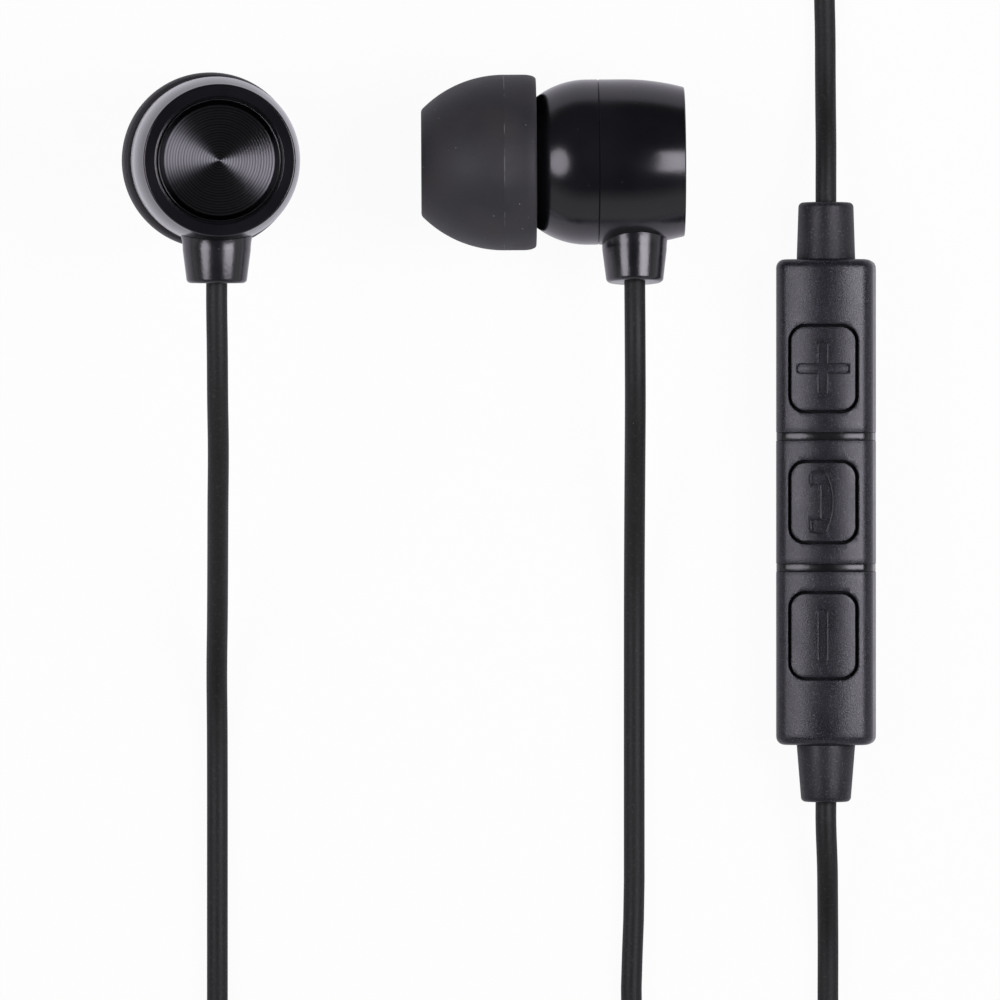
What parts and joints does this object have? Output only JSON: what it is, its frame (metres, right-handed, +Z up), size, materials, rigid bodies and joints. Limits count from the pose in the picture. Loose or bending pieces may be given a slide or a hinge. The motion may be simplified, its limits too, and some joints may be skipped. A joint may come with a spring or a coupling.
{
  "type": "wired earphones",
  "caption": "Wired in-ear earphones: round metal-capped buds with silicone tips, an in-line three-button remote with microphone, splitter, coiled cord and 3.5 mm plug.",
  "frame": {"origin": "on the table under the middle of the box round the two buds and the remote, with the cords, splitter and plug left out", "axes": "+Z up from the table, +Y along the remote towards the bud end of its cord, +X from the left bud towards the remote"},
  "size_m": [0.0666, 0.16, 0.0195],
  "materials": {
    "shell_gloss": "glossy black",
    "cap_metal": "spun and black anodised",
    "relief_rubber": "glossy black",
    "remote_boot": "matte",
    "cord": "satin dark grey",
    "copper": "enamelled copper",
    "frame_plastic": "matte",
    "steel": "satin",
    "magnet": "nickel plated",
    "film": "thin film",
    "brass": "satin",
    "board": "green",
    "mesh": "fine mesh",
    "silicone": "matte charcoal",
    "remote_matte": "fine texture",
    "button_matte": "fine texture",
    "gold": "polished",
    "tie": "matte"
  },
  "bodies": {
    "earphones": {"left_front_shell": "shell_gloss", "left_rear_shell": "shell_gloss", "left_cap_disc": "cap_metal", "left_strain_relief": "relief_rubber", "left_cord_tail": "cord", "left_lead_wires": "copper", "left_driver_frame": "frame_plastic", "left_driver_yoke": "steel", "left_driver_magnet": "magnet", "left_driver_top_plate": "steel", "left_voice_coil": "copper", "left_diaphragm": "film", "left_driver_cover": "brass", "left_terminal_board": "board", "left_nozzle_mesh": "mesh", "right_front_shell": "shell_gloss", "right_rear_shell": "shell_gloss", "right_cap_disc": "cap_metal", "right_strain_relief": "relief_rubber", "right_cord_tail": "cord", "right_lead_wires": "copper", "right_driver_frame": "frame_plastic", "right_driver_yoke": "steel", "right_driver_magnet": "magnet", "right_driver_top_plate": "steel", "right_voice_coil": "copper", "right_diaphragm": "film", "right_driver_cover": "brass", "right_terminal_board": "board", "right_nozzle_mesh": "mesh", "remote_front_shell": "remote_matte", "remote_back_shell": "remote_matte", "remote_divider_bands": "shell_gloss", "remote_circuit_board": "board", "remote_dome_switches": "steel", "remote_microphone": "steel", "remote_microphone_seal": "relief_rubber", "remote_upper_relief": "remote_boot", "remote_lower_relief": "remote_boot", "splitter_body": "remote_matte", "splitter_clamp": "brass", "plug_grip": "remote_matte", "plug_strain_relief": "relief_rubber", "plug_sleeve": "gold", "plug_rings": "gold", "plug_tip": "gold", "plug_insulators": "frame_plastic", "remote_cord_tails": "cord", "left_cord": "cord", "left_cord_coil": "cord", "right_cord": "cord", "remote_cord": "cord", "main_cord": "cord", "main_cord_coil": "cord", "cord_ties": "tie"},
    "left_tip": {"left_ear_tip": "silicone"},
    "right_tip": {"right_ear_tip": "silicone"},
    "plus_key": {"plus_button": "button_matte"},
    "call_key": {"call_button": "button_matte"},
    "minus_key": {"minus_button": "button_matte"}
  },
  "joints": [
    {"name": "left_tip_pull", "type": "slide", "parent": "earphones", "child": "left_tip", "axis": [-0.084, 0.034, -0.9959], "range_m": [0, 0.0065]},
    {"name": "right_tip_pull", "type": "slide", "parent": "earphones", "child": "right_tip", "axis": [-0.9999, -0.0052, 0.0087], "range_m": [0, 0.0065]},
    {"name": "plus_press", "type": "slide", "parent": "earphones", "child": "plus_key", "axis": [0.1132, 0, -0.9936], "range_m": [0, 0.00025], "stiffness_N_per_m": 400},
    {"name": "call_press", "type": "slide", "parent": "earphones", "child": "call_key", "axis": [0.1132, 0, -0.9936], "range_m": [0, 0.00025], "stiffness_N_per_m": 400},
    {"name": "minus_press", "type": "slide", "parent": "earphones", "child": "minus_key", "axis": [0.1132, 0, -0.9936], "range_m": [0, 0.00025], "stiffness_N_per_m": 400}
  ]
}
